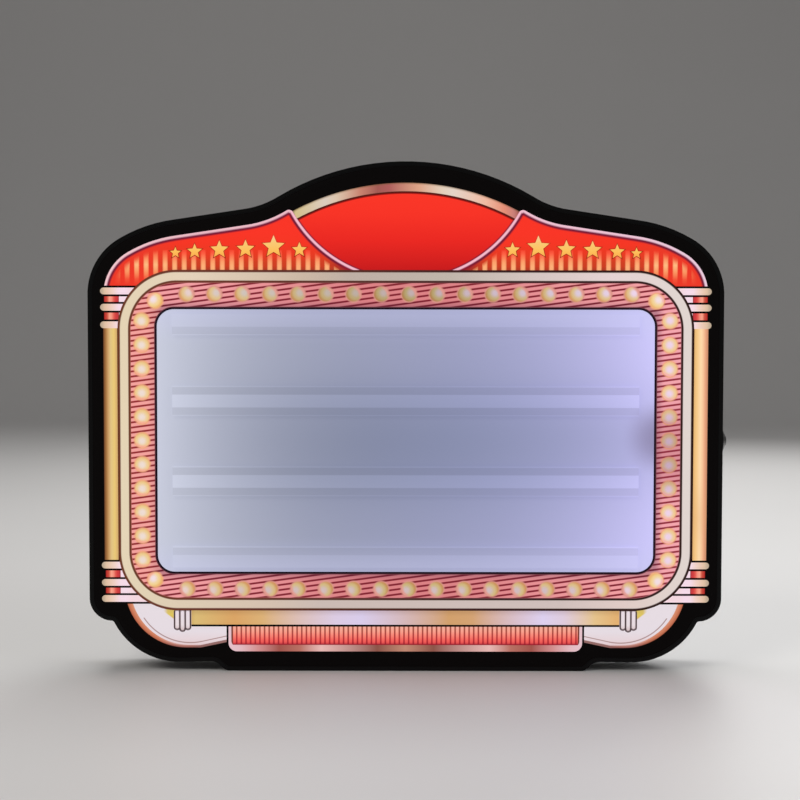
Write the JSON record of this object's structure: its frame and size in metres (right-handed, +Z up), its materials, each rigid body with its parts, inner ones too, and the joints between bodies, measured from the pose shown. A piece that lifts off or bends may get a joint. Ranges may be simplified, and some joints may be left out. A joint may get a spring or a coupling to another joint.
{
  "type": "illuminated marquee sign",
  "caption": "Light-up marquee message sign: shaped black case, printed translucent face, window with clear letter rails, side power button and grips on the back.",
  "frame": {"origin": "middle of the flat foot's underside, at half the depth of the case", "axes": "+X to the right seen from the front, +Y from the printed face to the back cover, +Z up"},
  "size_m": [0.455, 0.0857, 0.3618],
  "materials": {
    "case_black": "glossy",
    "cover_black": "fine grain",
    "opal_panel": "satin, lets light through",
    "block_grey": "matt",
    "insert_brass": "knurled, satin",
    "screw_steel": "satin",
    "plate_white": "matt",
    "tape_white": "satin",
    "chip_yellow": "clear resin over phosphor",
    "lead_cover": "satin",
    "rail_clear": "clear, glossy",
    "board_green": "satin solder mask",
    "board_parts": "matt",
    "spacer_white": "satin",
    "pack_blue": "shrink sleeve, satin",
    "strap_black": "woven",
    "socket_steel": "satin",
    "tongue_black": "matt",
    "bezel_black": "glossy",
    "button_black": "satin",
    "spring_steel": "bright",
    "switch_black": "matt",
    "nut_steel": "satin",
    "terminal_brass": "bright",
    "grip_black": "black anodised, satin",
    "ink_border": "printed film",
    "ink_fascia": "printed film",
    "ink_trim": "printed film",
    "ink_crown": "printed film",
    "ink_bars": "printed film",
    "ink_stars": "printed film",
    "ink_star_edges": "printed film",
    "ink_ring": "printed film",
    "ink_ring_lines": "printed film",
    "ink_band": "printed film",
    "ink_bulbs": "printed film",
    "ink_columns": "printed film",
    "ink_cap_bars": "printed film",
    "ink_cap_blocks": "printed film",
    "ink_bowls": "printed film",
    "ink_bowl_rims": "printed film",
    "ink_rod": "printed film",
    "ink_clasps": "printed film",
    "ink_ribbed_panel": "printed film",
    "ink_tray": "printed film"
  },
  "bodies": {
    "sign": {"side_wall": "case_black", "face_ledge": "case_black", "face_panel": "opal_panel", "back_cover": "cover_black", "cover_blocks": "block_grey", "block_inserts": "insert_brass", "cover_screws": "screw_steel", "plate_screws": "screw_steel", "led_plate": "plate_white", "led_tapes": "tape_white", "led_chips": "chip_yellow", "tape_jumpers": "lead_cover", "rail_spacers": "rail_clear", "rail_strips": "rail_clear", "driver_board": "board_green", "board_parts": "board_parts", "board_spacers": "spacer_white", "board_screws": "screw_steel", "battery_pack": "pack_blue", "battery_strap": "strap_black", "battery_lead": "lead_cover", "switch_lead": "lead_cover", "charge_lead": "lead_cover", "light_lead": "lead_cover", "charge_shell": "socket_steel", "charge_tongue": "tongue_black", "charge_board": "board_green", "charge_posts": "spacer_white", "charge_screws": "screw_steel", "button_bezel": "bezel_black", "button_spring": "spring_steel", "switch_body": "switch_black", "button_nut": "nut_steel", "switch_terminals": "terminal_brass", "grip_bars": "grip_black", "grip_posts": "grip_black", "grip_screws": "screw_steel", "print_border": "ink_border", "print_fascia": "ink_fascia", "print_trim": "ink_trim", "print_crown": "ink_crown", "print_bars": "ink_bars", "print_stars": "ink_stars", "print_star_edges": "ink_star_edges", "print_ring": "ink_ring", "print_ring_lines": "ink_ring_lines", "print_band": "ink_band", "print_bulbs": "ink_bulbs", "print_columns": "ink_columns", "print_cap_bars": "ink_cap_bars", "print_cap_blocks": "ink_cap_blocks", "print_bowls": "ink_bowls", "print_bowl_rims": "ink_bowl_rims", "print_rod": "ink_rod", "print_clasps": "ink_clasps", "print_ribbed_panel": "ink_ribbed_panel", "print_tray": "ink_tray"},
    "button": {"button_cap": "button_black"}
  },
  "joints": [
    {"name": "button_press", "type": "slide", "parent": "sign", "child": "button", "axis": [-1, 0, 0], "range_m": [0, 0.0012], "stiffness_N_per_m": 400, "springref_m": -0.002, "deforming": ["button_spring"]}
  ]
}
